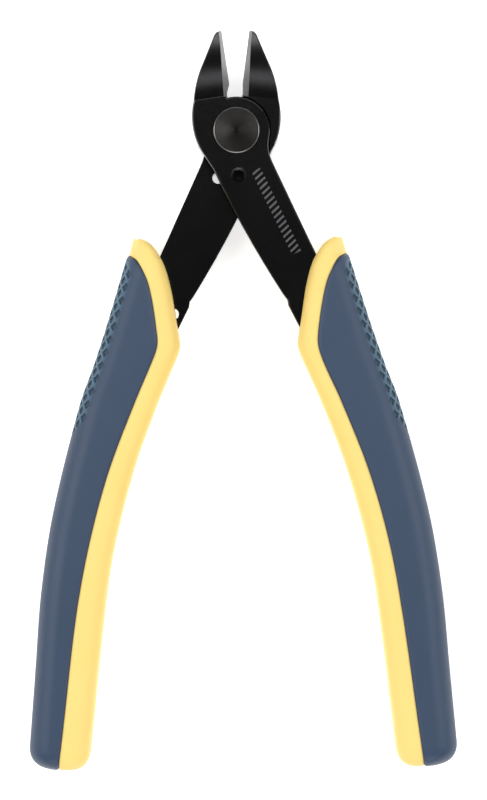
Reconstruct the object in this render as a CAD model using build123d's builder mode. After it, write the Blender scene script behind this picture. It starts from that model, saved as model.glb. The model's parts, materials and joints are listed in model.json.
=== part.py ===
"""Small diagonal cutting pliers with a lap joint, a round joint screw and two-part moulded grips.

The pliers lie flat: X is across the jaws, Y runs from the joint to the jaw tips and Z is the
pivot axis, out of the front face. The origin is the centre of the joint, on the lap plane.
Each half is drawn as if closed, in a frame of its own, with its jaw on -X, its arm on +X and
its flat plate on +Z. The front frame is turned by half the opening, and the back frame is the
same one turned over about Y, so the pliers stand fully open at rest.
"""

import os
from math import cos, radians, sin, sqrt

from build123d import *

os.makedirs("parts", exist_ok=True)

# Driving dimensions, in millimetres and degrees.
opening_angle = 15.6        # between closed and fully open
head_thickness = 6.5        # both halves together at the joint
lap_gap = 0.04              # between the two plates
tip_reach = 15.4            # pivot to jaw tips
disc_radius = 5.06          # the round of each plate about the pivot
disc_clearance = 0.12       # between a disc and the jaw that wraps it
jaw_wall = 1.34             # from the disc to the widest point of a jaw
stop_clearance = 0.03       # between a shoulder and the other arm when fully open
edge_gap = 0.02             # from each cutting edge to the closing plane
edge_round = 0.25           # along the outer faces of the plates
jaw_edge_round = 0.2        # along the tapered faces of the jaws
far = 150                   # beyond every outline

# Jaws: half height at three places along Y, and the width of the ground bevels there.
disc_to_taper = 0.24        # from the disc to the start of the taper
taper_hollow = 5.9          # from the tips down to the middle of the hollow
taper_overrun = 0.5         # from the tips on to the end of the cut
half_height_middle = 1.55
half_height_end = 0.6
bevel_width_base = 1.1
bevel_width_middle = 0.8
bevel_width_end = 0.45
disc_to_edge = 2.14         # from the disc to the start of the cutting edges
disc_to_relief = 0.84       # from the disc to the foot of that edge's relief
front_relief = 0.6          # how far each jaw falls back below its cutting edge
back_relief = 0.2

# Arms and tangs.
arm_bend_radius = 6.0       # the curve that leads from the disc to the arm
arm_leave_angle = -20       # where that curve leaves the disc
arm_lean = 17.0             # the arm's outer edge from -Y
arm_straight = 15.0         # length of that straight edge
tang_end = 71.0             # pivot to the end of the tang
tang_end_width = 4.4

# Joint screw, with its journal in the front half and its thread in the back half.
screw_head_radius = 3.45
screw_head_height = 1.2
screw_head_sunk = 0.9       # how deep the head's seat is
screw_head_bevel = 0.2
journal_radius = 2.1
thread_radius = 1.75
running_clearance = 0.04    # journal in its bore
head_side_clearance = 0.08  # head in its seat
head_lift = 0.03            # end play under the head
dimple_radius = 0.45
dimple_depth = 0.225
slot_width = 0.8
slot_depth = 0.7

# Return spring, coiled round the screw in a ring pocket cut into both lap faces.
wire_radius = 0.28
coil_radius = 3.45
coil_turns = 2.25
coil_pitch = 0.6
pocket_margin = 0.35        # pocket wall to wire
pocket_depth = 0.97
leg_reach = 1.75            # lap plane to the ends of the spring's legs
leg_clearance = 0.1

# Small holes.
front_hole = (-0.69, -6.68)
front_hole_radius = 0.75
front_sink_radius = 1.15
back_hole = (1.88, -7.21)
back_hole_radius = 0.875
tang_hole = (6.09, -28.38)
tang_hole_radius = 0.9

# Grips.
grip_end = 97.9             # pivot to the inner corners of the grips' ends
grip_end_drop = 1.1         # how much lower their outer corners are
grip_thickness = 11.6
skin_wall = 1.8             # blue skin over the core
grip_round = 0.9            # along the edges of both faces
collar_round = 0.9          # corners of the collar's top
swell_round = 2.5           # the swell where the arm enters
outer_end_round = 3.4       # corners of the lower end
inner_end_round = 2.2
seam_overrun = 1.0          # how far the seam is drawn past the lower end

# Sizes and planes worked out from the ones above.
half_thickness = head_thickness / 2
jaw_half_width = disc_radius + jaw_wall
taper_start = disc_radius + disc_to_taper
taper_middle = tip_reach - taper_hollow
taper_end = tip_reach + taper_overrun
relief_top = disc_radius + disc_to_edge
relief_bottom = disc_radius + disc_to_relief
lean = radians(opening_angle / 2)
front_frame = Plane(origin=(0, 0, 0), x_dir=(cos(lean), sin(lean), 0), z_dir=(0, 0, 1))
back_frame = Plane(origin=(0, 0, 0), x_dir=(-cos(lean), sin(lean), 0), z_dir=(0, 0, -1))
journal_bore = journal_radius + running_clearance
head_seat_radius = screw_head_radius + head_side_clearance
head_seat = half_thickness - screw_head_sunk
pocket_inner = coil_radius - wire_radius - pocket_margin
pocket_outer = coil_radius + wire_radius + pocket_margin
coil_height = coil_turns * coil_pitch
coil_start = Vector(coil_radius, 0)
coil_finish = coil_start.rotate(Axis.Z, 360 * coil_turns)


def on_disc(angle):
    """A point on the round of a plate."""
    return Vector(disc_radius, 0).rotate(Axis.Z, angle)


def jaw_point(inset, height):
    """A point on the jaw's outer side, in from its widest point and up from the disc."""
    return Vector(inset - jaw_half_width, disc_radius + height)


def other_when_open(point):
    """Where a point of the other half lies in this half's frame when fully open."""
    return Vector(-point.X, point.Y).rotate(Axis.Z, -opening_angle)


# The arm's outer edge is an arc off the disc, then a straight run to the collar.
arm_leave = on_disc(arm_leave_angle)
arm_bend = JernArc(
    arm_leave, arm_leave.rotate(Axis.Z, -90), arm_bend_radius, arm_lean - arm_leave_angle
)
arm_line_start = arm_bend @ 1
arm_line_end = arm_line_start + (arm_bend % 1) * arm_straight
disc_side = on_disc(30)  # a point on the round between the arm and the jaw

# The stop face of each shoulder lies along the other arm's outer edge when fully open.
stop_top = other_when_open(arm_leave + Vector(stop_clearance, 0))
stop_foot = other_when_open(arm_bend @ 0.75 + Vector(stop_clearance, 0))
stop_bottom = stop_top + (stop_foot - stop_top).normalized() * far

# The jaw's outer corners, from the shoulder under the pivot to the tip.
shoulder_tip = stop_foot + Vector(-0.07, 0.87)
jaw_widest = Vector(-jaw_half_width, 1.7)
jaw_base = jaw_point(0.68, 0.14)
jaw_side_middle = jaw_point(1.7, 3.44)
jaw_neck = Vector(-3.3, tip_reach - 4.2)
tip_corner = Vector(-1.42, tip_reach - 0.95)
tip_round = Vector(-0.78, tip_reach - 0.2)
jaw_tip = Vector(-edge_gap, tip_reach)
jaw_root_height = half_thickness / 2  # where the jaw's block starts, inside the plate

# The arm's inner edge, with the small step before the grip, and the tang inside the grip.
arm_root = Vector(0.76 - disc_radius, -disc_radius - 0.14)
arm_belly = Vector(-0.9, -15.2)
arm_step = Vector(3.3, -25.3)
step_top = Vector(3.8, -26.2)
step_foot = Vector(3.8, -27.0)
tang_root = Vector(6.6, -35.2)
tang_inner_end = Vector(12.4, -tang_end)
tang_inner_side = [tang_root, Vector(9.9, -46.0), Vector(11.5, -57.0), tang_inner_end]
tang_outer_end = tang_inner_end + Vector(tang_end_width, 0)
tang_outer_root = Vector(12.4, -33.0)
tang_outer_side = [tang_outer_end, Vector(16.3, -57.0), Vector(14.9, -44.5), tang_outer_root]
tang_tip = (tang_inner_end + tang_outer_end) / 2 - Vector(0, tang_end_width / 2)

# Grips: the outer side from the lower end up to the collar, the inner side from the collar's
# top to the swell where the arm enters and on to the lower end, and the seam from the top down.
collar_top = Vector(10.7, -18.35)
collar_side = Vector(13.1, -18.3)
swell = Vector(4.15, -33.2)
inner_end = Vector(10.1, -grip_end)
outer_end = inner_end + Vector(8.85, -grip_end_drop)
grip_side = [
    outer_end,
    Vector(19.85, -83.0),
    Vector(20.4, -72.0),
    Vector(20.1, -60.0),
    Vector(18.15, -43.6),
    Vector(16.8, -37.5),
    Vector(15.35, -30.6),
    collar_side,
]
arm_entry = [
    collar_top,
    Vector(8.6, -20.85),
    Vector(6.9, -24.4),
    Vector(5.45, -29.1),
    swell,
]
grip_belly = [
    swell,
    Vector(6.65, -41.9),
    Vector(9.0, -52.6),
    Vector(10.45, -64.6),
    Vector(10.65, -74.0),
    inner_end,
]
seam_line = [
    Vector(14.6, -19.9),
    Vector(12.3, -20.9),
    Vector(10.6, -23.3),
    Vector(9.35, -26.1),
    Vector(7.9, -31.0),
    Vector(7.5, -33.4),
    Vector(8.05, -36.3),
    Vector(9.65, -42.0),
    Vector(12.3, -53.0),
    Vector(13.75, -64.0),
    Vector(14.25, -75.0),
    Vector(14.1, -93.0),
    Vector(14.05, outer_end.Y - seam_overrun),
]

# Where along Y each section of the bevels stands, with its width and the jaw's half height.
bevel_stations = (
    (disc_radius + disc_clearance, bevel_width_base, half_thickness),
    (taper_middle, bevel_width_middle, half_height_middle),
    (taper_end, bevel_width_end, half_height_end),
)

# The outer side of the jaw, from its tip down, and of the shoulder under it.
with BuildLine() as jaw_side:
    ThreePointArc(jaw_tip, tip_round, tip_corner)
    Line(tip_corner, jaw_neck)
    ThreePointArc(jaw_neck, jaw_side_middle, jaw_base)
with BuildLine() as shoulder_side:
    ThreePointArc(jaw_base, jaw_widest, shoulder_tip)
    Line(shoulder_tip, arm_root)


def lever_outline(relief):
    """The closed outline of one half, from the jaw tip down its outer side and back up."""
    disc_top = Vector(-relief, sqrt(disc_radius**2 - relief**2))
    relief_foot = Vector(-relief, relief_bottom)
    edge_start = Vector(-edge_gap, relief_top)
    with BuildLine() as outline:
        add(jaw_side.line)
        add(shoulder_side.line)
        ThreePointArc(arm_root, arm_belly, arm_step)
        Polyline(arm_step, step_top, step_foot, tang_root)
        Spline(tang_inner_side)
        ThreePointArc(tang_inner_end, tang_tip, tang_outer_end)
        Spline(tang_outer_side)
        Polyline(tang_outer_root, arm_line_end, arm_line_start)
        add(arm_bend)
        ThreePointArc(arm_leave, disc_side, disc_top)
        Polyline(disc_top, relief_foot, edge_start, jaw_tip)
    return outline.line


def lever(frame, relief):
    """One steel half: a flat plate with its disc, arm and tang, and a jaw of full thickness."""
    side = Plane(origin=frame.origin, x_dir=frame.y_dir, z_dir=frame.x_dir)
    outward = Axis(frame.origin, frame.z_dir)
    outline = lever_outline(relief)

    def beside(line, edge):
        """True for an edge that runs along a line of the outline."""
        middle = frame.to_local_coords(edge @ 0.5)
        return line.distance_to(Vector(middle.X, middle.Y)) < edge_round / 2

    def is_tapered(edge):
        """True for an edge between a tapered face of the jaw and its outer side."""
        middle = frame.to_local_coords(edge @ 0.5)
        above = middle.Y > taper_start + edge_round
        return above and abs(middle.Z) > half_height_end / 2 and beside(jaw_side.line, edge)

    with BuildPart() as half:
        with BuildSketch(frame.offset(lap_gap / 2)):
            add(outline)
            make_face()
        extrude(amount=half_thickness - lap_gap / 2)
        plate_face = half.faces().filter_by(outward).sort_by(outward)[-1]
        fillet(plate_face.outer_wire().edges(), edge_round)

        # The jaw wraps the other disc at full thickness, down to the shoulder that stops its arm.
        with BuildSketch(frame.offset(jaw_root_height)):
            add(outline)
            make_face()
            Circle(disc_radius + disc_clearance, mode=Mode.SUBTRACT)
            with BuildLine():
                Polyline((0, 0), stop_top, stop_bottom, (far, -far), (far, 0), close=True)
            make_face(mode=Mode.SUBTRACT)
        extrude(amount=-jaw_root_height - half_thickness)
        shoulder_face = half.faces().filter_by(outward).sort_by(outward)[0]
        shoulder_edges = shoulder_face.outer_wire().edges().filter_by(
            lambda edge: beside(shoulder_side.line, edge)
        )
        fillet(shoulder_edges, edge_round)

        # Both faces of the jaw fall away towards the tip in a hollow curve.
        with BuildSketch(side):
            with BuildLine():
                ThreePointArc(
                    (taper_start, half_thickness),
                    (taper_middle, half_height_middle),
                    (taper_end, half_height_end),
                )
                Polyline(
                    (taper_end, half_height_end),
                    (taper_end, head_thickness),
                    (taper_start, head_thickness),
                    (taper_start, half_thickness),
                )
            make_face()
            mirror(about=Plane.XZ)
        extrude(amount=head_thickness * 2, both=True, mode=Mode.SUBTRACT)

        # The ground bevels meet in the cutting edge, on the lap plane.
        for upward in (1, -1):
            for station, width, height in bevel_stations:
                origin = frame.from_local_coords((-edge_gap, station, 0))
                top = 1 + head_thickness / height  # so that the cut rises above the whole head
                with BuildSketch(Plane(origin=origin, x_dir=frame.x_dir, z_dir=frame.y_dir)):
                    with BuildLine():
                        Polyline(
                            (0, 0),
                            (-width * top, -upward * height * top),
                            (head_thickness, -upward * height * top),
                            (head_thickness, 0),
                            close=True,
                        )
                    make_face()
            loft(ruled=True, mode=Mode.SUBTRACT)
        fillet(half.edges().filter_by(is_tapered), jaw_edge_round)

        # The return spring's ring pocket, with a hole for the leg that turns this half.
        leg = frame.to_local_coords(coil_finish if frame is front_frame else coil_start)
        with BuildSketch(frame):
            Circle(pocket_outer)
            Circle(pocket_inner, mode=Mode.SUBTRACT)
        extrude(amount=pocket_depth, mode=Mode.SUBTRACT)
        with BuildSketch(frame):
            with Locations((leg.X, leg.Y)):
                Circle(wire_radius + leg_clearance)
        extrude(amount=leg_reach + leg_clearance, mode=Mode.SUBTRACT)
    return half.part


# Front half: its disc turns on the screw's journal, under the screw's sunk head.
with BuildPart() as front_lever:
    add(lever(front_frame, front_relief))
    with Locations(front_frame.offset(half_thickness)):
        CounterBoreHole(journal_bore, head_seat_radius, screw_head_sunk)
        with Locations(front_hole):
            CounterSinkHole(front_hole_radius, front_sink_radius)

# Back half: the screw's thread goes right through it, and its tang has an anchoring hole.
with BuildPart() as back_lever:
    add(lever(back_frame, back_relief))
    with Locations(back_frame.offset(half_thickness)):
        Hole(thread_radius)
        with Locations(back_hole):
            Hole(back_hole_radius)
        with Locations(tang_hole):
            Hole(tang_hole_radius)

# Joint screw: bevelled head with a centre mark, journal, thread and a slot in its far end.
head_underside = head_seat + head_lift
head_top = head_underside + screw_head_height
thread_end = -half_thickness
with BuildPart() as joint_screw:
    with BuildSketch(Plane.XZ):
        with BuildLine():
            Polyline(
                (0, thread_end),
                (thread_radius, thread_end),
                (thread_radius, -lap_gap / 2),
                (journal_radius, -lap_gap / 2),
                (journal_radius, head_underside),
                (screw_head_radius, head_underside),
                (screw_head_radius, head_top - screw_head_bevel),
                (screw_head_radius - screw_head_bevel, head_top),
                (dimple_radius, head_top),
                (0, head_top - dimple_depth),
                close=True,
            )
        make_face()
    revolve(axis=Axis.Z)
    with BuildSketch(Plane.XY.offset(thread_end)):
        Rectangle(far, slot_width)
    extrude(amount=slot_depth, mode=Mode.SUBTRACT)

# Return spring: an open coil round the journal, with an end turned down into each half.
with BuildPart() as return_spring:
    with BuildLine():
        coil = Helix(coil_pitch, coil_height, coil_radius, center=(0, 0, -coil_height / 2))
    with BuildSketch(Plane(origin=coil @ 0, z_dir=coil % 0)):
        Circle(wire_radius)
    sweep(is_frenet=True)
    for corner, side in ((coil @ 0, -1), (coil @ 1, 1)):
        with Locations(corner):
            Sphere(wire_radius)
        with BuildSketch(Plane.XY.offset(corner.Z)):
            with Locations((corner.X, corner.Y)):
                Circle(wire_radius)
        extrude(amount=side * (leg_reach - abs(corner.Z)))


def grip_outline():
    """The closed outline of one grip, from the collar's top round the arm's entry and back."""
    with BuildSketch() as outline:
        with BuildLine():
            Spline(arm_entry)
            Spline(grip_belly)
            Line(inner_end, outer_end)
            Spline(grip_side)
            Line(collar_side, collar_top)
        make_face()
        by_height = outline.vertices().sort_by(Axis.Y)
        fillet(by_height[-2:], collar_round)
        fillet(by_height[-3], swell_round)
        inner_corner, outer_corner = by_height[:2].sort_by(Axis.X)
        fillet(outer_corner, outer_end_round)
        fillet(inner_corner, inner_end_round)
    return outline.sketch


def grip(frame):
    """The whole outer body of one grip, core and skin together."""
    with BuildPart() as body:
        with BuildSketch(frame):
            add(grip_outline())
        extrude(amount=grip_thickness / 2, both=True)
        outward = Axis(frame.origin, frame.z_dir)
        faces = body.faces().filter_by(outward).sort_by(outward)
        fillet(faces[0].outer_wire().edges() + faces[-1].outer_wire().edges(), grip_round)
    return body.part


def grip_skin(frame):
    """The soft skin: a channel over the outer side and most of both faces of one grip."""
    with BuildPart() as skin:
        add(grip(frame))
        with BuildSketch(frame):
            with BuildLine():
                seam = Spline(seam_line)
                Polyline(seam @ 1, (far, -far), (far, 0), seam @ 0)
            make_face()
        extrude(amount=grip_thickness, both=True, mode=Mode.INTERSECT)
        with BuildSketch(frame):
            with BuildLine():
                inner_side = Spline([point - Vector(skin_wall, 0) for point in grip_side])
                Polyline(
                    inner_side @ 1,
                    collar_side - Vector(far, 0),
                    outer_end - Vector(far, 0),
                    inner_side @ 0,
                )
            make_face()
            with Locations((0, -grip_end)):
                Rectangle(far * 2, skin_wall * 2, mode=Mode.SUBTRACT)
        extrude(amount=grip_thickness / 2 - skin_wall, both=True, mode=Mode.SUBTRACT)
    return skin.part


def grip_core(frame, skin):
    """The stiff core: it holds the tang and shows along the inner side and round the collar."""
    with BuildPart() as core:
        add(grip(frame))
        add(skin, mode=Mode.SUBTRACT)
        with BuildSketch(frame.offset(lap_gap / 2)):
            add(lever_outline(0))
            make_face()
        extrude(amount=half_thickness - lap_gap / 2, mode=Mode.SUBTRACT)
    return core.part


right_grip_skin = grip_skin(front_frame)
right_grip_core = grip_core(front_frame, right_grip_skin)
left_grip_skin = grip_skin(back_frame)
left_grip_core = grip_core(back_frame, left_grip_skin)

pieces = {
    "front_lever": front_lever.part,
    "back_lever": back_lever.part,
    "joint_screw": joint_screw.part,
    "return_spring": return_spring.part,
    "right_grip_core": right_grip_core,
    "right_grip_skin": right_grip_skin,
    "left_grip_core": left_grip_core,
    "left_grip_skin": left_grip_skin,
}
for name, piece in pieces.items():
    piece.label = name
    export_step(piece, f"parts/{name}.step")
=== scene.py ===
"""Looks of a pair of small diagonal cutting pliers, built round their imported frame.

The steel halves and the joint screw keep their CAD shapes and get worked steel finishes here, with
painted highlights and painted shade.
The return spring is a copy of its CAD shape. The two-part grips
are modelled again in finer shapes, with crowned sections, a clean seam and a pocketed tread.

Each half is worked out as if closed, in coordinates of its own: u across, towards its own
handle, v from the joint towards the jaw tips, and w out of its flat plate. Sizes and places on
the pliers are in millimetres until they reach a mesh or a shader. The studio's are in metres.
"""

import json
import logging
import math
from dataclasses import dataclass
from enum import Enum
from typing import Sequence

import bmesh
import bpy
from mathutils import Matrix, Vector


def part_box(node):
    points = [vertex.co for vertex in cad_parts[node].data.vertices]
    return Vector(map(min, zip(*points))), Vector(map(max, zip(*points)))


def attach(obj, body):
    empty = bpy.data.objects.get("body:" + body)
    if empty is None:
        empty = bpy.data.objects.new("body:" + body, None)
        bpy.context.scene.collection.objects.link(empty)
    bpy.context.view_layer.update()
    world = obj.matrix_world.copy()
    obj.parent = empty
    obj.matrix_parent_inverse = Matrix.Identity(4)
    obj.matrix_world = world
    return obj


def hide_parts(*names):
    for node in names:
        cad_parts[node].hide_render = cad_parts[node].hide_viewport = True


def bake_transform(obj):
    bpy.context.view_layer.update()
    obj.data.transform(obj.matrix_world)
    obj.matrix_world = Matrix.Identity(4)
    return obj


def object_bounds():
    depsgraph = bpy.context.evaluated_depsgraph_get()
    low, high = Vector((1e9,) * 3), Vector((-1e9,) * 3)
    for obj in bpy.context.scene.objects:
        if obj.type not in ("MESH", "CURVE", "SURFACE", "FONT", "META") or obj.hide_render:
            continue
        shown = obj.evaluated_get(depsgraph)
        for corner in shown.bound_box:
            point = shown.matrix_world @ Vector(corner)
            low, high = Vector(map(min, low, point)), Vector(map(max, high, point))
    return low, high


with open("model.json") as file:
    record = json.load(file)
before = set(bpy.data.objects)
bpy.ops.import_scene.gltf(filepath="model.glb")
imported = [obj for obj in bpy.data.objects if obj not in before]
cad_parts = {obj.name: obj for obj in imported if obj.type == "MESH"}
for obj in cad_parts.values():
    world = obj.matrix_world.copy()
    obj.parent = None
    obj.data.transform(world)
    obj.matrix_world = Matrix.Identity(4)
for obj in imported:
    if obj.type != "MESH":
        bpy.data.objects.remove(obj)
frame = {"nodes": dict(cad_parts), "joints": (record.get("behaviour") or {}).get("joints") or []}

LOG = logging.getLogger("pliers")
MM = 0.001
CAD_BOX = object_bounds()
JOINT = frame["joints"][0]
HALF_OPENING = math.radians(abs(JOINT["range_deg"][0]) / 2)
SHARP_ANGLE = 50.0
MERGE_WITHIN = 0.002


class Half(Enum):
    """The two halves of the pliers, each with the matrix from its own closed frame."""

    FRONT = "front"
    BACK = "back"

    @property
    def body(self) -> str:
        """The CAD body that this half's pieces ride on."""
        return f"{self.value}_half"

    @property
    def side(self) -> str:
        """The side of the pliers that this half's handle is on."""
        return "right" if self is Half.FRONT else "left"

    @property
    def placement(self) -> Matrix:
        """The way from u, v, w to the rest pose.

        Returns:
            A turn by half the travel, and then right over for the back half.
        """
        opened = Matrix.Rotation(HALF_OPENING, 4, "Z")
        if self is Half.FRONT:
            return opened
        return Matrix.Rotation(math.pi, 4, "Y") @ opened


# Shader maths


class Signal:
    """A number that varies over a surface: a socket with arithmetic."""

    def __init__(self, graph: "NodeGraph", socket: bpy.types.NodeSocket) -> None:
        """Wraps a socket of a node graph."""
        self.graph = graph
        self.socket = socket

    def _math(self, operation: str, *values: object) -> "Signal":
        """A Math node on these values."""
        return self.graph.signal("ShaderNodeMath", {"operation": operation}, dict(enumerate(values)))

    def __add__(self, other: object) -> "Signal":
        """Sum."""
        return self._math("ADD", self, other)

    def __radd__(self, other: object) -> "Signal":
        """Sum, with a number first."""
        return self._math("ADD", other, self)

    def __sub__(self, other: object) -> "Signal":
        """Difference."""
        return self._math("SUBTRACT", self, other)

    def __rsub__(self, other: object) -> "Signal":
        """Difference, with a number first."""
        return self._math("SUBTRACT", other, self)

    def __mul__(self, other: object) -> "Signal":
        """Product."""
        return self._math("MULTIPLY", self, other)

    def __rmul__(self, other: object) -> "Signal":
        """Product, with a number first."""
        return self._math("MULTIPLY", other, self)

    def size(self) -> "Signal":
        """Absolute value."""
        return self._math("ABSOLUTE", self)

    def wave(self, length: float) -> "Signal":
        """Sine of this signal, with one full wave over this length."""
        return self._math("SINE", self * (2 * math.pi / length))

    def root(self) -> "Signal":
        """Square root."""
        return self._math("SQRT", self)

    def either(self, other: "Signal") -> "Signal":
        """The larger of two signals."""
        return self._math("MAXIMUM", self, other)

    def ramp(self, start: float, end: float) -> "Signal":
        """A smooth step.

        Args:
            start: where it is 0.
            end: where it is 1, which may be the lower of the two.

        Returns:
            The step, from 0 to 1.
        """
        low, high = (0.0, 1.0) if start < end else (1.0, 0.0)
        sockets = {"Value": self, 1: min(start, end), 2: max(start, end), 3: low, 4: high}
        return self.graph.signal("ShaderNodeMapRange", {"interpolation_type": "SMOOTHSTEP"}, sockets)

    def over(self, span: tuple[float, float]) -> "Signal":
        """From 0 to 1 over a span in millimetres, which may run downwards."""
        return self.ramp(span[0] * MM, span[1] * MM)


class NodeGraph:
    """A material's nodes, with one method that makes any of them."""

    def __init__(self, name: str) -> None:
        """Starts a material with a Principled shader on its output.

        Args:
            name: the material's name.
        """
        self.material = bpy.data.materials.new(name)
        self.material.use_nodes = True
        self.tree = self.material.node_tree
        self.shader = next(n for n in self.tree.nodes if n.type == "BSDF_PRINCIPLED")

    def node(self, kind: str, settings: dict, sockets: dict) -> bpy.types.Node:
        """Adds a node.

        Args:
            kind: the node's type name.
            settings: its properties, set before its sockets.
            sockets: input names or numbers, with values, signals or output sockets.

        Returns:
            The new node.
        """
        made = self.tree.nodes.new(kind)
        for name, value in settings.items():
            setattr(made, name, value)
        for key, value in sockets.items():
            self.join(made.inputs[key], value)
        return made

    def join(self, socket: bpy.types.NodeSocket, value: object) -> None:
        """Links a signal or an output to an input, or sets the input's own value.

        Args:
            socket: the input.
            value: a signal, an output socket or a plain value.
        """
        if isinstance(value, Signal):
            value = value.socket
        if isinstance(value, bpy.types.NodeSocket):
            self.tree.links.new(value, socket)
        else:
            socket.default_value = value

    def signal(self, kind: str, settings: dict, sockets: dict, output: object = 0) -> Signal:
        """The output of a new node, as a signal."""
        return Signal(self, self.node(kind, settings, sockets).outputs[output])

    def coordinates(self, output: str) -> tuple[Signal, Signal, Signal]:
        """A place or a direction on the piece, as three signals.

        Args:
            output: "Object" for the place in metres, or "Normal" for where the surface faces.

        Returns:
            X, Y and Z.
        """
        where = self.node("ShaderNodeTexCoord", {}, {}).outputs[output]
        parts = self.node("ShaderNodeSeparateXYZ", {}, {0: where})
        return tuple(Signal(self, parts.outputs[axis]) for axis in "XYZ")

    def vector(self, x: Signal, y: Signal, z: Signal) -> bpy.types.NodeSocket:
        """Three signals as one vector."""
        return self.node("ShaderNodeCombineXYZ", {}, {0: x, 1: y, 2: z}).outputs[0]

    def noise(self, size: float, detail: float = 2.0, where: object = None) -> Signal:
        """Noise from 0 to 1.

        Args:
            size: how large its blotches are, in millimetres.
            detail: how many finer layers it has.
            where: the place that it reads, or None for Object coordinates.

        Returns:
            The noise.
        """
        sockets = {"Scale": 1 / (size * MM), "Detail": detail, "Roughness": 0.55}
        if where is None:
            where = self.node("ShaderNodeTexCoord", {}, {}).outputs["Object"]
        sockets["Vector"] = where
        return self.signal("ShaderNodeTexNoise", {}, sockets)

    def colours(self, share: Signal, first: object, second: object) -> bpy.types.NodeSocket:
        """A mix of two colours, each three numbers or a socket.

        Args:
            share: how much of the second is in it.
            first: the colour at 0.
            second: the colour at 1.

        Returns:
            The mixed colour.
        """
        mix = self.node("ShaderNodeMix", {"data_type": "RGBA"}, {})
        self.join(mix.inputs["Factor"], share)
        for socket, colour in ((mix.inputs[6], first), (mix.inputs[7], second)):
            self.join(socket, colour if isinstance(colour, bpy.types.NodeSocket) else (*colour, 1.0))
        return mix.outputs[2]

    def bump(self, height: Signal, depth: float, strength: float = 1.0) -> None:
        """Makes the surface look raised.

        Args:
            height: how much, as a signal.
            depth: how far a height of 1 raises it, in millimetres.
            strength: how much of it shows.
        """
        sockets = {"Height": height, "Distance": depth * MM, "Strength": strength}
        bumped = self.node("ShaderNodeBump", {}, sockets)
        self.join(self.shader.inputs["Normal"], bumped.outputs[0])

    def surface(self, sockets: dict) -> bpy.types.Material:
        """Sets the shader's inputs.

        Args:
            sockets: input names, with values, signals or output sockets.

        Returns:
            The material.
        """
        for name, value in sockets.items():
            self.join(self.shader.inputs[name], value)
        return self.material


# Finishes


def darker(colour: Sequence[float], share: float) -> tuple[float, ...]:
    """A colour times a share, which may be above 1."""
    return tuple(share * part for part in colour)


@dataclass(frozen=True)
class EtchedBars:
    """A row of plain slanted bars down the middle of the front arm.

    Attributes:
        start: u and v of the row's upper end.
        finish: u and v of its lower end.
        slant: how far a bar trails from one side of the row to the other, as a share.
        pitch: from bar to bar.
        height: across the row.
        soft_row: how softly the row ends.
        soft_bar: how softly each bar ends.
    """

    start: tuple[float, float] = (2.0, -6.3)
    finish: tuple[float, float] = (6.2, -19.4)
    slant: float = 0.3
    pitch: float = 0.8
    height: float = 1.5
    soft_row: float = 0.05
    soft_bar: float = 0.06

    def mask(self, across: Signal, along: Signal) -> Signal:
        """Where the bars are.

        Args:
            across: u in metres.
            along: v in metres.

        Returns:
            1 on the bars.
        """
        run = math.dist(self.start, self.finish)
        down = [(finish - start) / run for start, finish in zip(self.start, self.finish)]
        right, ahead = across - self.start[0] * MM, along - self.start[1] * MM
        travelled = right * down[0] + ahead * down[1]
        beside = right * -down[1] + ahead * down[0]
        bars = (travelled + beside * self.slant).wave(self.pitch * MM).ramp(0.2, 0.4)
        begun = travelled.over((-self.soft_row, self.soft_row))
        not_over = travelled.over((run + self.soft_row, run))
        reach = self.height / 2
        return bars * begun * not_over * beside.size().over((reach, reach - self.soft_bar))


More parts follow.
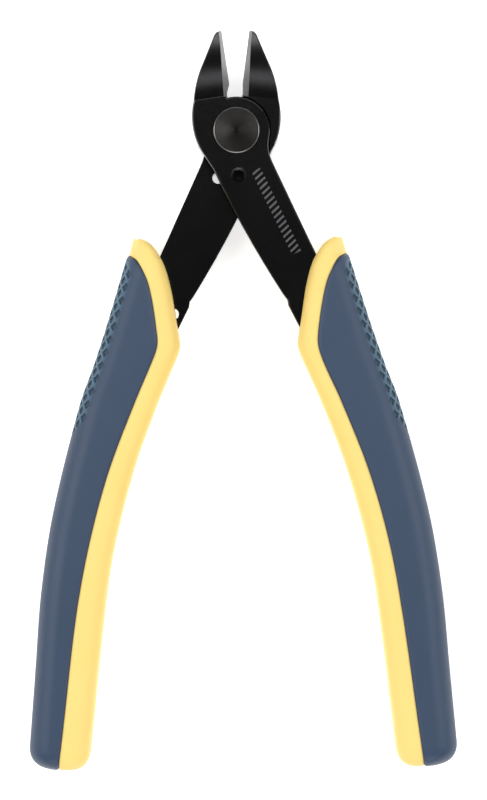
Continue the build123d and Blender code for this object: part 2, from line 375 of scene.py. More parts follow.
@dataclass(frozen=True)
class BlackSteel:
    """Satin black oxide on ground steel, with the jaws' bevels ground bright and highlights painted on
    rounded edges.

    Spans are where a mask goes from 0 to 1, in millimetres.

    Attributes:
        half: the half that the finish is for, whose masks are in its own frame.
        black: the oxide's colour.
        ground: the bevels' colour, which the painted highlights on rounded edges also take.
        mark: the etched bars' colour.
        bevel_back: the span of u past which a face may be a bevel.
        bevel_foot: the span of v at the bevels' lower ends.
        bevel_fade: the span of v over which the bevels grow bright.
        jaw_foot: the span of v where the painted highlight on a jaw's rounded edge begins.
        jaw_back: the span of u that keeps that highlight off the cutting edge.
        plate_top: the span of w at the plate's face, where its rounded edge gets a painted highlight.
        face_top: the span of w that keeps the bars on the plate's face.
        sunk_hole: u and v of the countersunk hole.
        sunk_rim: the span of radius at that hole's rim, where its painted highlight lies.
        line_size: how wide and how long a grinding line is.
    """

    half: Half
    black: tuple[float, ...] = (0.022, 0.022, 0.023)
    ground: tuple[float, ...] = (0.28, 0.275, 0.28)
    mark: tuple[float, ...] = (0.105, 0.105, 0.11)
    bevel_back: tuple[float, float] = (-1.9, -1.7)
    bevel_foot: tuple[float, float] = (5.1, 5.4)
    bevel_fade: tuple[float, float] = (7.6, 10.6)
    jaw_foot: tuple[float, float] = (4.5, 6.0)
    jaw_back: tuple[float, float] = (-0.6, -0.9)
    plate_top: tuple[float, float] = (2.85, 3.0)
    face_top: tuple[float, float] = (3.0, 3.2)
    sunk_hole: tuple[float, float] = (-0.69, -6.68)
    sunk_rim: tuple[float, float] = (1.15, 0.85)
    line_size: tuple[float, float] = (1 / 14, 1 / 0.9)

    def across_normal(self, graph: NodeGraph) -> Signal:
        """How far the surface faces along u, from -1 to 1."""
        own, normal = self.half.placement.inverted(), graph.coordinates("Normal")
        return normal[0] * own[0][0] + normal[1] * own[0][1]

    def bevels(self, graph: NodeGraph, across: Signal, along: Signal) -> Signal:
        """1 on the bevels that face the cutting gap, above the disc."""
        faces_gap = self.across_normal(graph).ramp(0.3, 0.45)
        return faces_gap * across.over(self.bevel_back) * along.over(self.bevel_foot)

    def painted_highlights(self, graph: NodeGraph, across: Signal, along: Signal, height: Signal) -> Signal:
        """Painted highlights on the rounded edges of the plate, a jaw and a sunk hole.

        Args:
            graph: the material's nodes.
            across: u in metres.
            along: v in metres.
            height: Z in metres.

        Returns:
            About 1 where a highlight is painted.
        """
        up = graph.coordinates("Normal")[2].size()
        of_plate = up.ramp(0.87, 0.7) * height.size().over(self.plate_top)
        outward = self.across_normal(graph).ramp(-0.12, -0.28)
        of_jaw = outward * along.over(self.jaw_foot) * across.over(self.jaw_back)
        right, ahead = across - self.sunk_hole[0] * MM, along - self.sunk_hole[1] * MM
        from_hole = (right * right + ahead * ahead).root()
        of_hole = from_hole.over(self.sunk_rim) * up.ramp(0.9, 0.8) * 1.6
        return up.ramp(0.1, 0.3) * of_plate.either(of_jaw).either(of_hole)

    def material(self, bars: EtchedBars | None = None) -> bpy.types.Material:
        """Builds the material.

        Args:
            bars: the bars etched on the plate, where it has them.

        Returns:
            The material for this half's lever.
        """
        graph = NodeGraph(f"black_oxide_{self.half.value}")
        x, y, z = graph.coordinates("Object")
        own = self.half.placement.inverted()
        across = x * own[0][0] + y * own[0][1]
        along = x * own[1][0] + y * own[1][1]
        bright = self.bevels(graph, across, along)
        blotches = graph.noise(2.6, 4.0)
        grain = graph.noise(0.09, 3.0)
        smudge = graph.noise(9.0, 3.0)
        wide, long = (1 / (size * MM) for size in self.line_size)
        lines = graph.signal("ShaderNodeTexNoise", {}, {
            "Vector": graph.vector(across * wide, along * long, z * wide), "Scale": 1.0, "Detail": 2.0,
        })
        dark = graph.colours(blotches, self.black, darker(self.black, 1.5))
        # Painted highlight on the rounded edges, mixed towards the bevels' ground colour.
        painted_rim_highlight = self.painted_highlights(graph, across, along, z) * (0.3 + blotches * 0.6)
        polish = bright * (0.4 + along.over(self.bevel_fade) * 0.6) * (0.82 + lines * 0.3)
        colour = graph.colours(polish.either(painted_rim_highlight), dark, self.ground)
        rough = 0.13 + smudge * 0.06 + grain * 0.04 + bright * 0.12
        if bars:
            shown = bars.mask(across, along) * z.over(self.face_top) * (0.7 + grain * 0.5)
            colour = graph.colours(shown, colour, self.mark)
            rough = rough + shown * 0.25
        graph.bump(grain * (1.0 - bright * 0.5) + lines * 0.6, 0.002)
        return graph.surface({"Base Color": colour, "Metallic": 1.0, "Roughness": rough})


@dataclass(frozen=True)
class TurnedSteel:
    """Blackened steel off a lathe: fine rings round Z, a painted highlight on the head's bevel and
    painted shade on its face.

    Attributes:
        colour: the blackened faces' colour.
        bright: the colour of the painted highlight on the head's bevel.
        ring_pitch: from ring to ring.
        ring_wander: how far the rings stray.
        painted_shade_span: the span of radius, drawn towards one side, over which the painted shade on
            the face's middle and lower right fades out.
        edge_highlight_span: where the painted highlight starts and is whole, out from the bevel's
            start.
        edge_highlight_foot: how far below the bevel the painted highlight starts.
    """

    colour: tuple[float, ...] = (0.038, 0.0365, 0.035)
    bright: tuple[float, ...] = (0.5, 0.49, 0.48)
    ring_pitch: float = 0.16
    ring_wander: float = 0.05
    painted_shade_span: tuple[float, float] = (-0.4, 3.2)
    edge_highlight_span: tuple[float, float] = (0.02, 0.08)
    edge_highlight_foot: float = 0.05

    def material(self, edge_radius: float, edge_height: float) -> bpy.types.Material:
        """Builds the material.

        Args:
            edge_radius: where the head's bevel starts, in metres from the axis.
            edge_height: the foot of that bevel, in metres.

        Returns:
            The screw's material.
        """
        graph = NodeGraph("turned_steel")
        x, y, z = graph.coordinates("Object")
        radius = (x * x + y * y).root()
        rings = (radius + graph.noise(1.2) * (self.ring_wander * MM)).wave(self.ring_pitch * MM)
        fine = graph.noise(0.08, 2.0, graph.vector(radius, z, 0.0))
        # Painted highlight on the head's bevel ring.
        edge = (radius - edge_radius).over(self.edge_highlight_span)
        edge = edge * (z - edge_height).over((-self.edge_highlight_foot, 0.0))
        base = graph.colours(graph.noise(1.5, 3.0), self.colour, darker(self.colour, 0.6))
        # Painted shade: the face is darker in its middle and towards its lower right.
        base = graph.colours((radius + (y - x) * 0.5).over(self.painted_shade_span), darker(self.colour, 0.3), base)
        colour = graph.colours(edge * (0.5 + fine * 0.4), base, self.bright)
        graph.bump(rings * 0.5 + fine * 0.3, 0.016)
        rough = 0.3 + graph.noise(3.0, 3.0) * 0.14
        return graph.surface({"Base Color": colour, "Metallic": 1.0, "Roughness": rough})


@dataclass(frozen=True)
class BrightWire:
    """Drawn spring wire, bright under a thin film of oil."""

    colour: tuple[float, ...] = (0.5, 0.49, 0.47)

    def material(self) -> bpy.types.Material:
        """Builds the material.

        Returns:
            The spring's material.
        """
        graph = NodeGraph("spring_wire")
        stain = graph.noise(0.8, 4.0)
        colour = graph.colours(stain, self.colour, darker(self.colour, 0.6))
        graph.bump(graph.noise(0.05), 0.003)
        return graph.surface({"Base Color": colour, "Metallic": 1.0, "Roughness": 0.2 + stain * 0.15})


@dataclass(frozen=True)
class MouldedPlastic:
    """A moulded grip material with a fine spark-eroded grain.

    Attributes:
        name: the material's name.
        colour: the usual colour.
        other: the colour that it drifts to in soft patches.
        rough: the least roughness.
        grain: the size of the grain.
        tread: the colour of the tread's ribs, where the piece has one; its pockets take half of it as
            painted shade.
    """

    name: str
    colour: tuple[float, ...]
    other: tuple[float, ...]
    rough: float
    grain: float
    tread: tuple[float, ...] = ()

    def material(self) -> bpy.types.Material:
        """Builds the material.

        Returns:
            A grip piece's material.
        """
        graph = NodeGraph(self.name)
        drift = graph.noise(7.0, 3.0)
        grain = graph.noise(self.grain)
        speckle = graph.noise(0.5, 4.0)
        colour = graph.colours(drift, self.colour, self.other)
        rough = self.rough + drift * 0.08 + speckle * 0.06
        if self.tread:
            share = graph.signal("ShaderNodeAttribute", {"attribute_name": "tread"}, {}, "Fac")
            # Painted shade: the pockets are darker the deeper they go.
            pocket_shade = graph.signal("ShaderNodeAttribute", {"attribute_name": "pocket_shade"}, {}, "Fac")
            ribs_with_pocket_shade = graph.colours(pocket_shade, self.tread, darker(self.tread, 0.5))
            colour = graph.colours(share, colour, ribs_with_pocket_shade)
            rough = rough - share * 0.06
        graph.bump(grain + speckle * 0.6, 0.02, 0.5)
        return graph.surface({"Base Color": colour, "Roughness": rough, "Specular IOR Level": 0.4})


YELLOW = MouldedPlastic("yellow_plastic", (0.87, 0.64, 0.187), (0.90, 0.675, 0.215), 0.45, 0.16)
BLUE = MouldedPlastic(
    "blue_rubber", (0.026, 0.049, 0.095), (0.032, 0.057, 0.107), 0.42, 0.18, tread=(0.055, 0.115, 0.175)
)


# Shape of the grips


class Rail:
    """A smooth line down a half, giving u at any v."""

    def __init__(self, *points: tuple[float, float]) -> None:
        """Takes points (u, v) from the top down."""
        self.points = points

    def slope(self, index: int) -> float:
        """The change of u with v at a point, from its neighbours.

        Args:
            index: the point's number.

        Returns:
            u per v.
        """
        before = self.points[max(index - 1, 0)]
        after = self.points[min(index + 1, len(self.points) - 1)]
        return (after[0] - before[0]) / (after[1] - before[1])

    def __call__(self, v: float) -> float:
        """Reads the line, which runs straight on beyond its ends.

        Args:
            v: how far along the half.

        Returns:
            u there.
        """
        last = len(self.points) - 1
        if v >= self.points[0][1]:
            return self.points[0][0] + self.slope(0) * (v - self.points[0][1])
        if v <= self.points[last][1]:
            return self.points[last][0] + self.slope(last) * (v - self.points[last][1])
        index = next(i for i in range(last) if v >= self.points[i + 1][1])
        (u0, v0), (u1, v1) = self.points[index:index + 2]
        run = v1 - v0
        share = (v - v0) / run
        lift = share * share * (3 - 2 * share)
        start = self.slope(index) * run * share * (1 - share) ** 2
        return u0 + (u1 - u0) * lift + start - self.slope(index + 1) * run * share**2 * (1 - share)


def set_back(depth: float, radius: float) -> float:
    """How far a rounded corner of this radius stands back, at a depth from its end."""
    inset = radius - min(max(depth, 0.0), radius)
    return radius - math.sqrt(radius * radius - inset * inset)


def smooth(value: float, start: float, end: float) -> float:
    """From 0 at start smoothly to 1 at end."""
    share = min(max((value - start) / (end - start), 0.0), 1.0)
    return share * share * (3 - 2 * share)


@dataclass(frozen=True)
class Section:
    """One section across a grip, walked over its upper half from the inner wall's middle.

    The walk goes up the inner wall, round the inner edge, over the face, down the long outer
    roll and down the outer wall.

    Attributes:
        inner: u of the inner wall.
        outer: u of the outer wall.
        thick: the height of the face's middle above the grip's middle plane.
        crown: how much lower the face is at both walls.
        edge: the radius of the inner edge.
        roll_wide: how far the outer roll reaches in from the outer wall.
        roll_high: how far it reaches down.
    """

    inner: float
    outer: float
    thick: float
    crown: float
    edge: float
    roll_wide: float
    roll_high: float

    @property
    def wall(self) -> float:
        """Length of the inner wall."""
        return self.thick - self.edge

    @property
    def face_start(self) -> float:
        """Walked length to the start of the face."""
        return self.wall + self.edge * math.pi / 2

    @property
    def face_end(self) -> float:
        """Walked length to the end of the face."""
        return self.face_start + self.outer - self.roll_wide - self.inner - self.edge

    @property
    def roll_end(self) -> float:
        """Walked length to the end of the outer roll."""
        mean = math.sqrt((self.roll_wide**2 + self.roll_high**2) / 2)
        return self.face_end + mean * math.pi / 2

    @property
    def length(self) -> float:
        """The whole walk, to the outer wall's middle."""
        return self.roll_end + self.thick - self.roll_high

    def walked_to(self, u: float) -> float:
        """How far the walk has gone when it reaches a place on the face or the roll.

        Args:
            u: the place.

        Returns:
            The length walked.
        """
        start = self.outer - self.roll_wide
        if u <= start:
            return self.face_end - (start - u)
        turn = math.asin(min((u - start) / self.roll_wide, 1.0))
        return self.face_end + (self.roll_end - self.face_end) * turn / (math.pi / 2)

    def at(self, walked: float) -> tuple[Vector, Vector]:
        """Where the walk is after a length.

        Args:
            walked: the length.

        Returns:
            The point and the outward normal, as (u, w).
        """
        if walked < self.wall:
            point, normal = Vector((self.inner, walked)), Vector((-1, 0))
        elif walked < self.face_start:
            turn = (walked - self.wall) / self.edge
            normal = Vector((-math.cos(turn), math.sin(turn)))
            point = Vector((self.inner + self.edge, self.wall)) + normal * self.edge
        elif walked < self.face_end:
            point = Vector((self.inner + self.edge + walked - self.face_start, self.thick))
            normal = Vector((0, 1))
        elif walked < self.roll_end:
            turn = (walked - self.face_end) / (self.roll_end - self.face_end) * math.pi / 2
            centre = Vector((self.outer - self.roll_wide, self.thick - self.roll_high))
            way = Vector((math.sin(turn), math.cos(turn)))
            point = centre + Vector((way.x * self.roll_wide, way.y * self.roll_high))
            normal = Vector((way.x / self.roll_wide, way.y / self.roll_high)).normalized()
        else:
            point, normal = Vector((self.outer, self.length - walked)), Vector((1, 0))
        middle, half = (self.inner + self.outer) / 2, (self.outer - self.inner) / 2
        point.y *= 1 - self.crown / self.thick * ((point.x - middle) / half) ** 2
        return point, normal


@dataclass(frozen=True)
class GripForm:
    """The outer form of a grip in its half's own frame, in millimetres.

    A place on it is a walked length across a section, a row along the grip, and a depth below
    the surface. Rows run with v along the body. Over each end they go on round its edge, and
    then across its flat to the middle, so a sheet wrapped on the form closes there.

    Attributes:
        top: v of the collar's top, and end: v of the lower end's inner corner.
        end_lean: how much lower the end is towards the outer side, per length across.
        end_lean_span: the span of -v over which that lean sets in.
        top_lean: how much higher the top is towards the outer side, per length across.
        top_lean_foot: v below which the top's lean is gone.
        skin_top: v of the skin's top edge.
        half_thickness: half the grip's thickness.
        crown, inner_edge, roll_wide, roll_high: the usual section's measures.
        top_corner, end_inner_corner, end_outer_corner: corner radii of the outline.
        top_round, end_round: how far the faces' roundings reach at the ends.
        swell_round: how softly the arm's entry turns into the belly.
        entry, belly, back: the outline's inner side above and below the swell, and its outer side.
        plate_seam, under_seam: the seam on the plate's face and on the other.
    """

    top: float = -18.3
    end: float = -97.6
    end_lean: float = 0.12
    end_lean_span: tuple[float, float] = (85.0, 97.0)
    top_lean: float = 0.28
    top_lean_foot: float = -21.0
    skin_top: float = -20.6
    half_thickness: float = 5.8
    crown: float = 0.22
    inner_edge: float = 2.0
    roll_wide: float = 3.2
    roll_high: float = 3.6
    top_corner: float = 0.7
    top_round: float = 1.4
    end_inner_corner: float = 2.2
    end_outer_corner: float = 3.4
    end_round: float = 2.4
    swell_round: float = 0.5
    entry: Rail = Rail((10.6, -18.3), (8.5, -20.85), (6.9, -24.4), (5.45, -29.1), (4.15, -33.2))
    belly: Rail = Rail(
        (4.15, -33.2), (6.65, -41.9), (9.0, -52.6), (10.45, -64.6), (10.65, -74.0), (10.1, -97.9)
    )
    back: Rail = Rail(
        (13.5, -18.3), (15.5, -30.6), (16.8, -37.5), (18.15, -43.6), (20.1, -60.0), (20.4, -72.0),
        (19.85, -83.0), (18.95, -98.9),
    )
    plate_seam: Rail = Rail(
        (14.9, -20.3), (12.5, -21.1), (10.55, -23.3), (9.25, -26.1), (7.75, -31.0), (7.3, -33.6),
        (7.8, -36.5), (9.4, -42.0), (12.0, -53.0), (13.45, -64.0), (13.85, -75.0), (13.75, -93.0),
        (13.75, -99.0),
    )
    under_seam: Rail = Rail(
        (14.9, -20.3), (12.6, -21.2), (10.75, -23.3), (9.5, -26.1), (8.1, -31.0), (7.65, -33.4),
        (8.25, -36.3), (9.85, -42.0), (12.5, -53.0), (14.0, -64.0), (14.6, -75.0), (14.4, -93.0),
        (14.4, -99.0),
    )

    @property
    def body_top(self) -> float:
        """The row where the top's rounding starts."""
        return self.top - self.top_round

    @property
    def body_end(self) -> float:
        """The row where the lower end's rounding starts."""
        return self.end + self.end_outer_corner

    def row(self, y: float) -> tuple[float, float]:
        """Where a row is on the form.

        Args:
            y: the row.

        Returns:
            v, and how much of the section's thickness is left.
        """
        if y > self.body_top:
            turn = (y - self.body_top) / self.top_round
            v = self.body_top + self.top_round * math.sin(min(turn, 1.0) * math.pi / 2)
        elif y < self.body_end:
            turn = (self.body_end - y) / self.end_outer_corner
            v = self.body_end - self.end_outer_corner * math.sin(min(turn, 1.0) * math.pi / 2)
        else:
            return y, 1.0
        return v, 1.0 - max(turn - 1.0, 0.0)

    def section(self, v: float) -> Section:
        """The section across the grip.

        Args:
            v: how far along the half.

        Returns:
            The section there.
        """
        from_top, from_end = self.top - v, v - self.end
        entry, belly = self.entry(v), self.belly(v)
        inner = (entry + belly + math.hypot(entry - belly, self.swell_round)) / 2
        inner += set_back(from_top, self.top_corner) + set_back(from_end, self.end_inner_corner)
        outer = self.back(v) - set_back(from_top, self.top_corner)
        outer -= set_back(from_end, self.end_outer_corner)
        thick = self.half_thickness - set_back(from_top, self.top_round)
        thick -= set_back(from_end, self.end_round)
        wide = outer - inner
        return Section(
            inner, outer, thick, self.crown, min(self.inner_edge, 0.3 * wide, 0.6 * thick),
            min(self.roll_wide, 0.6 * wide), min(self.roll_high, 0.8 * thick),
        )

    def seam_walked(self, section: Section, y: float, side: float) -> float:
        """The walked length to the seam at a row, or the roll's end above the skin.

        Args:
            section: the section there.
            y: the row.
            side: 1 on the plate's face and -1 on the other, where the seam runs further out.

        Returns:
            The length. The two faces' seams meet where the ends close.
        """
        v, left = self.row(y)
        plate, under = self.plate_seam(v), self.under_seam(v)
        middle = (plate + under) / 2
        return section.walked_to(middle + ((plate if side > 0 else under) - middle) * left)

    def point(self, section: Section, y: float, walked: float, depth: float, side: float) -> Vector:
        """A place on the form, or below it, in the half's own frame.

        Args:
            section: the section at the row.
            y: the row.
            walked: the length walked across the section.
            depth: how far below the surface.
            side: 1 on the plate's face and -1 on the other.

        Returns:
            u, v and w.
        """
        v, left = self.row(y)
        (u, w), (across, up) = section.at(walked)
        tip = max(self.top_round - (self.top - v), 0.0) / self.top_round
        tail = max(self.end_outer_corner - (v - self.end), 0.0) / self.end_outer_corner
        level = math.sqrt(1 - max(tip, tail) ** 2)
        lean = self.end_lean * (u - self.belly(v)) * smooth(-v, *self.end_lean_span)
        lean -= self.top_lean * (u - self.entry(v)) * smooth(v, self.top_lean_foot, self.top)
        along = v - (tip - tail) * depth - lean
        return Vector((u - across * level * depth, along, (w - up * level * depth) * left * side))


def flat_sheet(columns: Sequence[float], rows: Sequence[float]) -> bmesh.types.BMesh:
    """A flat sheet of faces.

    Args:
        columns: where its columns of corners stand, along X.
        rows: where its rows stand, along Y.

    Returns:
        A new mesh with the sheet.
    """
    mesh = bmesh.new()
    bmesh.ops.create_grid(mesh, x_segments=len(columns) - 1, y_segments=len(rows) - 1, size=1)
    for vert in mesh.verts:
        column = round((vert.co.x + 1) / 2 * (len(columns) - 1))
        row = round((vert.co.y + 1) / 2 * (len(rows) - 1))
        vert.co = (columns[column], rows[row], 0)
    return mesh


def steps(start: float, end: float, count: int) -> list[float]:
    """Evenly spaced values after start, up to and with end."""
    return [start + (end - start) * (i + 1) / count for i in range(count)]


def finished(
    name: str, mesh: bmesh.types.BMesh, material: bpy.types.Material, sharp: float = SHARP_ANGLE
) -> bpy.types.Object:
    """Turns a mesh into an object at the origin.

    Args:
        name: the piece's name.
        mesh: its shape, which is freed.
        material: its material.
        sharp: the angle in degrees past which an edge is shown sharp.

    Returns:
        The new object, in the scene.
    """
    bmesh.ops.remove_doubles(mesh, verts=mesh.verts, dist=MERGE_WITHIN * MM)
    bmesh.ops.recalc_face_normals(mesh, faces=mesh.faces)
    for edge in mesh.edges:
        edge.smooth = edge.calc_face_angle(0.0) < math.radians(sharp)
    for face in mesh.faces:
        face.smooth = True
    data = bpy.data.meshes.new(name)
    mesh.to_mesh(data)
    mesh.free()
    data.materials.append(material)
    made = bpy.data.objects.new(name, data)
    bpy.context.scene.collection.objects.link(made)
    return made


@dataclass
class Grip:
    """One grip: a stiff core over the arm's tang, and a soft skin over the core's outer side.

    Both start as flat sheets, whose X runs across the grip and whose Y runs along it.

    Attributes:
        half: the half that the grip is on.
        form: its outer form.
        groove: how deep the groove at the seam is, and groove_wide: how wide each side of it is.
        skin_wall: the skin's thickness, and play: the gap under and beside it.
        proud: how far the skin stands out over the core round the collar's outer side.
        proud_span: the walked span, past the face's end, over which it comes to do so.
        visible: X of the core's seam, and hidden: X of its outer wall's middle.
        rim_columns: X of the core's columns that crowd towards its seam.
        visible_columns, hidden_columns: how many columns it has before them and under the skin.
        core_rows: how many rows it has over its top, its collar, its body and its end.
        collar_end: v of the lower end of the finer rows.
        jump: how close the two rows and the two columns are where the surface steps down.
        tread_wide: X of the tread's sides, and skin_wide: X of the skin's edges.
        tread_top, tread_end: where the tread runs along the grip.
        tread_columns, tread_rows: how many squares its sheet has on each side and along.
        tread_narrows: by how much its pockets reach less far in at its end.
        skin_columns, skin_tail_rows: how many more the skin has beside the tread and at its end.
        skin_rim: the distances from its edges of the rows and columns that shape its rim.
        rib: the width of the tread's ribs.
        pocket_slope, pocket_depth: the slope's run and the depth of its pockets.
    """

    half: Half
    form: GripForm = GripForm()
    groove: float = 0.28
    groove_wide: float = 0.5
    skin_wall: float = 1.5
    play: float = 0.03
    proud: float = 0.3
    proud_span: tuple[float, float] = (0.5, 2.5)
    visible: float = 8.0
    hidden: float = 12.0
    rim_columns: tuple[float, ...] = (7.2, 7.45, 7.7, 7.88)
    visible_columns: int = 15
    hidden_columns: int = 8
    core_rows: tuple[int, int, int, int] = (14, 30, 110, 16)
    collar_end: float = -24.5
    jump: float = 0.01
    tread_wide: float = 6.2
    skin_wide: float = 14.0
    tread_top: float = -21.4
    tread_end: float = -49.4
    tread_columns: int = 3
    tread_rows: int = 14
    tread_narrows: float = 4.2
    skin_columns: int = 5
    skin_tail_rows: int = 6
    skin_rim: tuple[float, float] = (0.6, 0.25)
    rib: float = 0.36
    pocket_slope: float = 0.14
    pocket_depth: float = 0.26

    def shoulder(self, distance: float) -> float:
        """How far a rounded rim is below the surface, at a distance from its edge."""
        return self.groove * max(1 - max(distance, 0.0) / self.groove_wide, 0.0) ** 2

    def core_place(self, x: float, y: float) -> Vector:
        """Wraps a point of the core's flat sheet on the form.

        Args:
            x: across the sheet, from the inner wall.
            y: the row.

        Returns:
            u, v and w.
        """
        v, _ = self.form.row(y)
        section = self.form.section(v)
        side = math.copysign(1.0, x)
        seam = self.form.seam_walked(section, y, side)
        across = abs(x)
        below_top = v < self.form.skin_top
        if across <= self.visible:
            walked = seam * across / self.visible
        else:
            start = seam + self.play
            share = (across - self.visible) / (self.hidden - self.visible)
            walked = start + (section.length - start) * share
        if below_top and across > self.visible:
            depth = self.skin_wall + self.play
        else:
            depth = self.proud * smooth(walked - section.face_end, *self.proud_span)
            if below_top:
                depth += self.shoulder(seam - walked)
        return self.form.point(section, y, walked, depth, side)

    def skin_place(self, x: float, y: float, depth: float) -> Vector:
        """Wraps a point of the skin's flat slab on the form.

        Args:
            x: across the slab, from the outer wall.
            y: the row.
            depth: how far below the slab's top.

        Returns:
            u, v and w.
        """
        v, _ = self.form.row(y)
        section = self.form.section(v)
        side = math.copysign(1.0, x)
        reach = section.length - self.form.seam_walked(section, y, side)
        tread = self.tread_wide * min(1.0, reach / (self.tread_wide * 1.3))
        across = abs(x)
        if across <= self.tread_wide:
            far = tread * across / self.tread_wide
        else:
            share = (across - self.tread_wide) / (self.skin_wide - self.tread_wide)
            far = tread + (reach - tread) * share
        if depth < self.skin_wall:
            depth += self.shoulder(min(reach - far, self.form.skin_top - v))
        return self.form.point(section, y, section.length - far, depth, side)

    def core(self) -> bpy.types.Object:
        """Makes the stiff core: a sheet wrapped right round the form and closed over its ends.

        Returns:
            The core.
        """
        form = self.form
        covered = self.visible + self.jump / 10
        half_row = steps(0, self.rim_columns[0], self.visible_columns)
        half_row += [*self.rim_columns[1:], self.visible, covered]
        half_row += steps(covered, self.hidden, self.hidden_columns)
        columns = [-x for x in reversed(half_row)] + [0.0] + half_row
        tip, tail = form.body_top + 2 * form.top_round, form.body_end - 2 * form.end_outer_corner
        over_top, over_collar, over_body, over_end = self.core_rows
        under = form.skin_top - self.jump
        rows = [tip, *steps(tip, form.body_top, over_top), form.skin_top + self.jump, under]
        rows += steps(under, self.collar_end, over_collar)
        rows += steps(self.collar_end, form.body_end, over_body) + steps(form.body_end, tail, over_end)
        mesh = flat_sheet(columns, sorted(rows))
        for vert in mesh.verts:
            vert.co = self.core_place(vert.co.x, vert.co.y)
        return self.wrapped(mesh, f"{self.half.side}_grip_core", YELLOW)

    def skin(self) -> bpy.types.Object:
        """Makes the soft skin: a slab with a pocketed tread, wrapped over the form's outer side.

        Returns:
            The skin.
        """
        form = self.form
        pitch = (self.tread_top - self.tread_end) / self.tread_rows
        tail = form.body_end - 2 * form.end_outer_corner
        beyond = round((self.tread_end - form.body_end) / pitch)
        wide_rim, thin_rim = self.skin_rim
        half_row = steps(0, self.tread_wide, self.tread_columns)
        half_row += steps(self.tread_wide, self.skin_wide - wide_rim, self.skin_columns)
        half_row += [self.skin_wide - thin_rim, self.skin_wide]
        columns = [-x for x in reversed(half_row)] + [0.0] + half_row
        rows = [form.skin_top, form.skin_top - thin_rim, form.skin_top - wide_rim, self.tread_top]
        rows += steps(self.tread_top, self.tread_end, self.tread_rows)
        rows += steps(self.tread_end, form.body_end, beyond)
        rows += steps(form.body_end, tail, self.skin_tail_rows)
        mesh = flat_sheet(columns, sorted(rows))
        shell = bmesh.ops.extrude_face_region(mesh, geom=mesh.faces[:], use_keep_orig=True)
        for vert in (part for part in shell["geom"] if isinstance(part, bmesh.types.BMVert)):
            vert.co.z = -self.skin_wall
        closing = [f for f in mesh.faces if all(v.co.y < tail + 0.001 for v in f.verts)]
        bmesh.ops.delete(mesh, geom=closing, context="FACES_ONLY")
        tread = mesh.verts.layers.float.new("tread")
        # How deep a point lies in a pocket, which the material turns into painted shade.
        pocket_shade = mesh.verts.layers.float.new("pocket_shade")
        bmesh.ops.recalc_face_normals(mesh, faces=mesh.faces)
        self.cut_tread(mesh)
        bmesh.ops.subdivide_edges(mesh, edges=mesh.edges, cuts=2, use_grid_fill=True)
        for vert in mesh.verts:
            vert[tread] = self.tread_share(vert.co.x, vert.co.y)
            vert[pocket_shade] = min(max(-vert.co.z / self.pocket_depth, 0.0), 1.0)
            vert.co = self.skin_place(vert.co.x, vert.co.y, -vert.co.z)
        return self.wrapped(mesh, f"{self.half.side}_grip_skin", BLUE)

    def tread_limit(self, y: float) -> float:
        """How far from the outer wall's middle the tread reaches at a row."""
        return self.tread_wide - self.tread_narrows * smooth(self.tread_end - y, -5.0, 2.0)

    def tread_share(self, x: float, y: float) -> float:
        """1 over the tread and 0 well outside it."""
        inside = smooth(self.tread_limit(y) - abs(x), 0.3, 1.1)
        return inside * smooth(self.tread_top - y, -0.2, 0.4) * smooth(y - self.tread_end, -0.6, 0.4)

    def cut_tread(self, mesh: bmesh.types.BMesh) -> None:
        """Cuts diamond pockets into the flat slab's top, with ribs between them.

        Each square is poked into four triangles, and the triangles on both sides of each of the
        squares' shared sides join into a diamond.

        Args:
            mesh: the slab, still flat.
        """

        def in_zone(face: bmesh.types.BMFace) -> bool:
            """Tells the tread's faces from the rest.

            Args:
                face: a face of the slab.

            Returns:
                True on the slab's top, within the tread.
            """
            middle = face.calc_center_median()
            return (
                middle.z > -0.001 and self.tread_end < middle.y < self.tread_top
                and abs(middle.x) < self.tread_wide
            )

        squares = [face for face in mesh.faces if in_zone(face)]
        borders = {edge for face in squares for edge in face.edges}
        inner = [edge for edge in borders if all(face in squares for face in edge.link_faces)]
        bmesh.ops.poke(mesh, faces=squares)
        bmesh.ops.dissolve_edges(mesh, edges=inner, use_verts=False)
        diamonds = [
            face for face in mesh.faces
            if in_zone(face) and len(face.verts) == 4
            and abs(face.calc_center_median().x) < self.tread_limit(face.calc_center_median().y)
        ]
        bmesh.ops.inset_individual(mesh, faces=diamonds, thickness=self.rib / 2, use_even_offset=True)
        bmesh.ops.inset_individual(
            mesh, faces=diamonds, thickness=self.pocket_slope,
            depth=-self.pocket_depth, use_even_offset=True,
        )

    def wrapped(
        self, mesh: bmesh.types.BMesh, name: str, finish: MouldedPlastic
    ) -> bpy.types.Object:
        """Moves a wrapped mesh from the half's own frame to rest and finishes it as a piece.

        Args:
            mesh: the mesh, in millimetres.
            name: the CAD node that it stands for.
            finish: its finish.

        Returns:
            The piece.
        """
        bmesh.ops.transform(mesh, verts=mesh.verts, matrix=self.half.placement @ Matrix.Scale(MM, 4))
        piece = finished(name, mesh, finish.material())
        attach(piece, self.half.body)
        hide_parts(name)
        return piece

    def build(self) -> list[bpy.types.Object]:
        """Makes both pieces."""
        return [self.core(), self.skin()]


# Steel


def dress(node: str, material: bpy.types.Material) -> bpy.types.Object:
    """Gives a CAD node a material in place of its own.

    Args:
        node: the node's name.
        material: the material.

    Returns:
        The node's object.
    """
    piece = frame["nodes"][node]
    piece.data.materials.clear()
    piece.data.materials.append(material)
    return piece


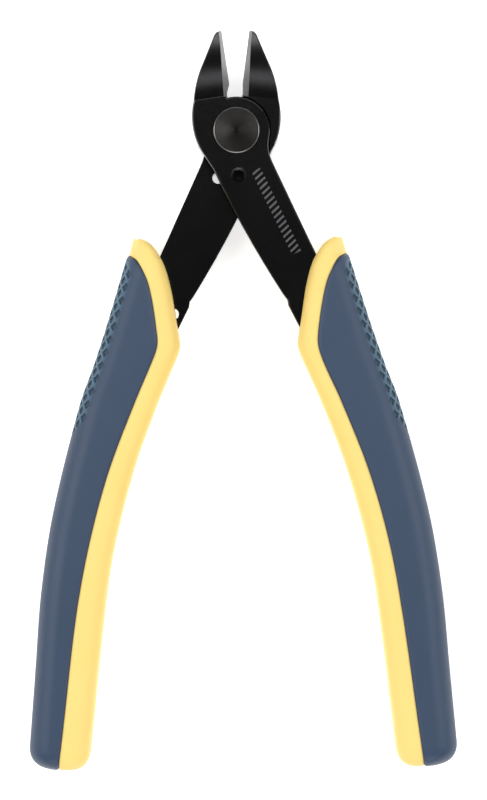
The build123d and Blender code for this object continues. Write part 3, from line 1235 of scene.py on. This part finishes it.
@dataclass
class Steelwork:
    """The two levers, the joint screw and the return spring, in their CAD shapes.

    Attributes:
        head_bevel: the bevel round the screw's head.
        coil_height: the spring's height between its two turned ends; not used.
        shaded_back_ground: a darker copy of the bevels' colour for the back half, as painted shade on
            its bevels and on its edge highlights.
    """

    head_bevel: float = 0.2
    coil_height: float = 1.35
    shaded_back_ground: tuple[float, ...] = (0.2, 0.197, 0.2)

    def spring(self) -> bpy.types.Object:
        """Makes the return spring, a copy of its CAD shape.

        Returns:
            The spring.
        """
        mesh = bmesh.new()
        mesh.from_mesh(frame["nodes"]["return_spring"].data)
        piece = finished("wound_spring", mesh, BrightWire().material())
        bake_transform(piece)
        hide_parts("return_spring")
        return piece

    def build(self) -> list[bpy.types.Object]:
        """Dresses each node, and makes the spring.

        Returns:
            All four pieces.
        """
        low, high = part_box("joint_screw")
        bevel = self.head_bevel * MM
        head_radius = (high.x - low.x) / 2
        return [
            dress("front_lever", BlackSteel(Half.FRONT).material(EtchedBars())),
            # The back half's bevels and edge highlights take painted shade: the same ground colour,
            # darker.
            dress("back_lever", BlackSteel(Half.BACK, ground=self.shaded_back_ground).material()),
            dress("joint_screw", TurnedSteel().material(head_radius - bevel, high.z - bevel)),
            self.spring(),
        ]


# Studio


@dataclass(frozen=True)
class Softbox:
    """A rectangular area light.

    Attributes:
        place: where it stands, in metres.
        size: its width and height, in metres.
        power: its power in watts.
    """

    place: tuple[float, float, float]
    size: tuple[float, float]
    power: float

    def build(self, name: str, target: Vector) -> None:
        """Adds the light.

        Args:
            name: its name.
            target: the point that it faces.
        """
        light = bpy.data.lights.new(name, "AREA")
        light.shape = "RECTANGLE"
        light.size, light.size_y = self.size
        light.energy = self.power
        made = bpy.data.objects.new(name, light)
        made.location = self.place
        made.rotation_euler = (target - Vector(self.place)).to_track_quat("-Z", "Y").to_euler()
        bpy.context.scene.collection.objects.link(made)


@dataclass
class Studio:
    """A pale floor, soft lights, and a camera that looks straight down. Sizes are in metres.

    Attributes:
        aim: X and Y of the point that the camera and the lights face.
        frame_height: how much of the plane through the joint's middle the frame's height spans.
        lens, sensor: the camera's focal length and sensor height, in millimetres.
        roll: how far the camera is turned about its axis, in degrees.
        floor_size: the floor's side.
        floor_colour: its colour, and floor_glow: its own faint light, which keeps it near white.
        world: the strength of the light from all around.
        boxes: one light at each side, two thin ones beyond the tips and a broad one below.
    """

    aim: tuple[float, float] = (0.0006, -0.0403)
    frame_height: float = 0.1202
    lens: float = 150.0
    sensor: float = 36.0
    roll: float = -0.64
    floor_size: float = 3.0
    floor_colour: tuple[float, ...] = (0.93, 0.93, 0.93)
    floor_glow: float = 0.55
    world: float = 0.135
    boxes: tuple[Softbox, ...] = (
        Softbox((-0.65, 0.05, 0.62), (0.35, 0.9), 4.9),
        Softbox((0.65, 0.05, 0.62), (0.35, 0.9), 4.3),
        Softbox((0.0, 0.70, 0.72), (1.0, 0.16), 1.35),
        Softbox((0.0, 0.28, 0.96), (0.8, 0.12), 2.1),
        Softbox((0.0, -0.95, 0.55), (0.9, 0.5), 4.3),
    )

    def build(self) -> None:
        """Sets up everything round the pliers."""
        self.floor(CAD_BOX[0][2])
        target = Vector((*self.aim, 0.0))
        for index, box in enumerate(self.boxes):
            box.build(f"softbox_{index}", target)
        world = bpy.data.worlds.new("studio")
        world.use_nodes = True
        sky = world.node_tree.nodes["Background"]
        sky.inputs["Color"].default_value = (1.0, 1.0, 1.0, 1.0)
        sky.inputs["Strength"].default_value = self.world
        bpy.context.scene.world = world
        bpy.context.scene.view_settings.view_transform = "Standard"
        self.camera(target)

    def floor(self, height: float) -> None:
        """Lays the floor under the pliers.

        Args:
            height: Z of its top.
        """
        mesh = bmesh.new()
        bmesh.ops.create_grid(mesh, x_segments=1, y_segments=1, size=self.floor_size / 2)
        bmesh.ops.translate(mesh, verts=mesh.verts, vec=(0, 0, height))
        graph = NodeGraph("pale_floor")
        material = graph.surface({
            "Base Color": (*self.floor_colour, 1.0), "Roughness": 0.9,
            "Emission Color": (1.0, 1.0, 1.0, 1.0), "Emission Strength": self.floor_glow,
        })
        finished("floor", mesh, material, 30)

    def camera(self, target: Vector) -> None:
        """Puts the camera over the pliers.

        Args:
            target: the point under it.
        """
        camera = bpy.data.cameras.new("camera")
        camera.sensor_fit = "VERTICAL"
        camera.sensor_height = self.sensor
        camera.lens = self.lens
        made = bpy.data.objects.new("camera", camera)
        distance = self.frame_height * self.lens / self.sensor
        made.location = target + Vector((0, 0, distance))
        made.rotation_euler = (0, 0, math.radians(self.roll))
        bpy.context.scene.collection.objects.link(made)
        bpy.context.scene.camera = made


def main() -> None:
    """Builds the pliers and their studio."""
    logging.basicConfig(level=logging.INFO, format="%(name)s: %(message)s")
    Studio().build()
    for part in (Steelwork(), Grip(Half.FRONT), Grip(Half.BACK)):
        for piece in part.build():
            LOG.info("%s: %d faces", piece.name, len(piece.data.polygons))


if __name__ == "__main__":
    main()
